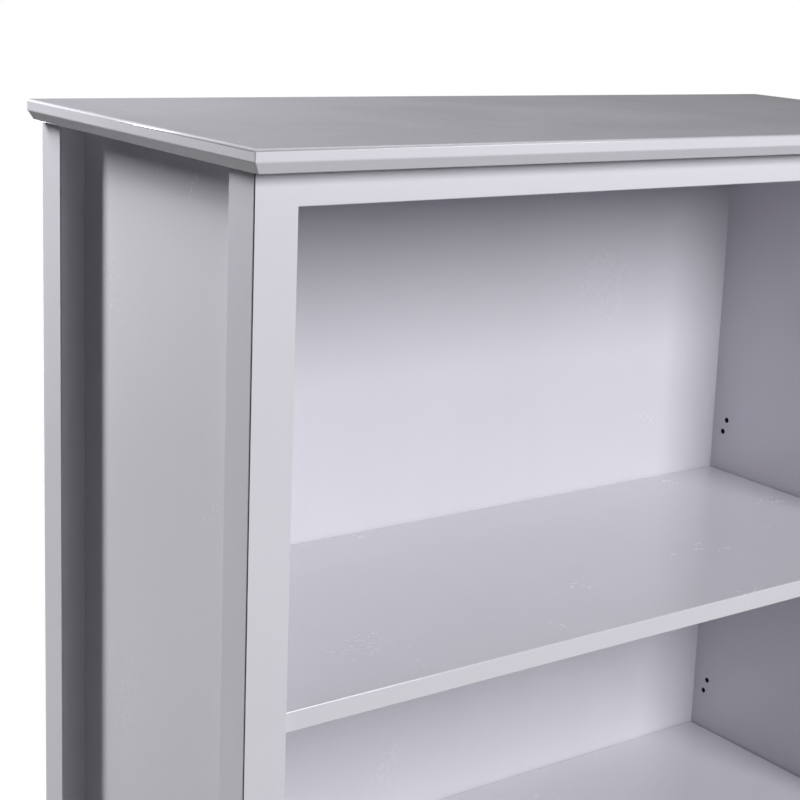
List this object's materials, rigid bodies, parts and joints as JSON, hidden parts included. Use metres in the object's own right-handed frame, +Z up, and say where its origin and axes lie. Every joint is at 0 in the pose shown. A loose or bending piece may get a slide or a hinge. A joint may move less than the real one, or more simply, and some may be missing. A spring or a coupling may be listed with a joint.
{
  "type": "open bookcase",
  "caption": "Open painted bookcase with an overhanging chamfered top, recessed sides, a fixed base shelf and loose shelves on two-peg supports.",
  "frame": {"origin": "on the floor, under the centre of the top board", "axes": "+Z up, +Y to the back of the case, so its open front faces -Y, and +X to the right seen from the front"},
  "size_m": [0.914, 0.4, 1.219],
  "materials": {
    "paint": "satin paint",
    "bare_wood": "unfinished",
    "support_steel": "nickel plated",
    "zinc_steel": "zinc plated",
    "nylon": "matte"
  },
  "bodies": {
    "case": {"top_board": "paint", "top_cleat_left": "bare_wood", "top_cleat_right": "bare_wood", "side_board_left": "paint", "side_board_right": "paint", "front_stile_left": "paint", "front_stile_right": "paint", "side_front_stile_left": "paint", "side_front_stile_right": "paint", "side_rear_stile_left": "paint", "side_rear_stile_right": "paint", "front_top_rail": "paint", "front_base_rail": "paint", "rear_top_rail": "bare_wood", "rear_base_rail": "bare_wood", "back_board": "paint", "base_shelf": "paint", "base_cleat_left": "bare_wood", "base_cleat_right": "bare_wood", "foot_glides": "nylon", "frame_dowels": "bare_wood", "cleat_side_screws": "zinc_steel", "cleat_top_screws": "zinc_steel", "base_shelf_screws": "zinc_steel", "tether_plates": "zinc_steel", "tether_screws": "zinc_steel"},
    "upper_shelf": {"upper_shelf": "paint"},
    "lower_shelf": {"lower_shelf": "paint"},
    "support_upper_front_left": {"support_upper_front_left": "support_steel"},
    "support_upper_front_right": {"support_upper_front_right": "support_steel"},
    "support_upper_rear_left": {"support_upper_rear_left": "support_steel"},
    "support_upper_rear_right": {"support_upper_rear_right": "support_steel"},
    "support_lower_front_left": {"support_lower_front_left": "support_steel"},
    "support_lower_front_right": {"support_lower_front_right": "support_steel"},
    "support_lower_rear_left": {"support_lower_rear_left": "support_steel"},
    "support_lower_rear_right": {"support_lower_rear_right": "support_steel"}
  },
  "joints": [
    {"name": "upper_shelf_lift", "type": "slide", "parent": "case", "child": "upper_shelf", "axis": [0, 0, 1], "range_m": [0, 0.12]},
    {"name": "lower_shelf_lift", "type": "slide", "parent": "case", "child": "lower_shelf", "axis": [0, 0, 1], "range_m": [0, 0.12]},
    {"name": "support_upper_front_left_pull", "type": "slide", "parent": "case", "child": "support_upper_front_left", "axis": [1, 0, 0], "range_m": [0, 0.012]},
    {"name": "support_upper_front_right_pull", "type": "slide", "parent": "case", "child": "support_upper_front_right", "axis": [-1, 0, 0], "range_m": [0, 0.012]},
    {"name": "support_upper_rear_left_pull", "type": "slide", "parent": "case", "child": "support_upper_rear_left", "axis": [1, 0, 0], "range_m": [0, 0.012]},
    {"name": "support_upper_rear_right_pull", "type": "slide", "parent": "case", "child": "support_upper_rear_right", "axis": [-1, 0, 0], "range_m": [0, 0.012]},
    {"name": "support_lower_front_left_pull", "type": "slide", "parent": "case", "child": "support_lower_front_left", "axis": [1, 0, 0], "range_m": [0, 0.012]},
    {"name": "support_lower_front_right_pull", "type": "slide", "parent": "case", "child": "support_lower_front_right", "axis": [-1, 0, 0], "range_m": [0, 0.012]},
    {"name": "support_lower_rear_left_pull", "type": "slide", "parent": "case", "child": "support_lower_rear_left", "axis": [1, 0, 0], "range_m": [0, 0.012]},
    {"name": "support_lower_rear_right_pull", "type": "slide", "parent": "case", "child": "support_lower_rear_right", "axis": [-1, 0, 0], "range_m": [0, 0.012]}
  ]
}
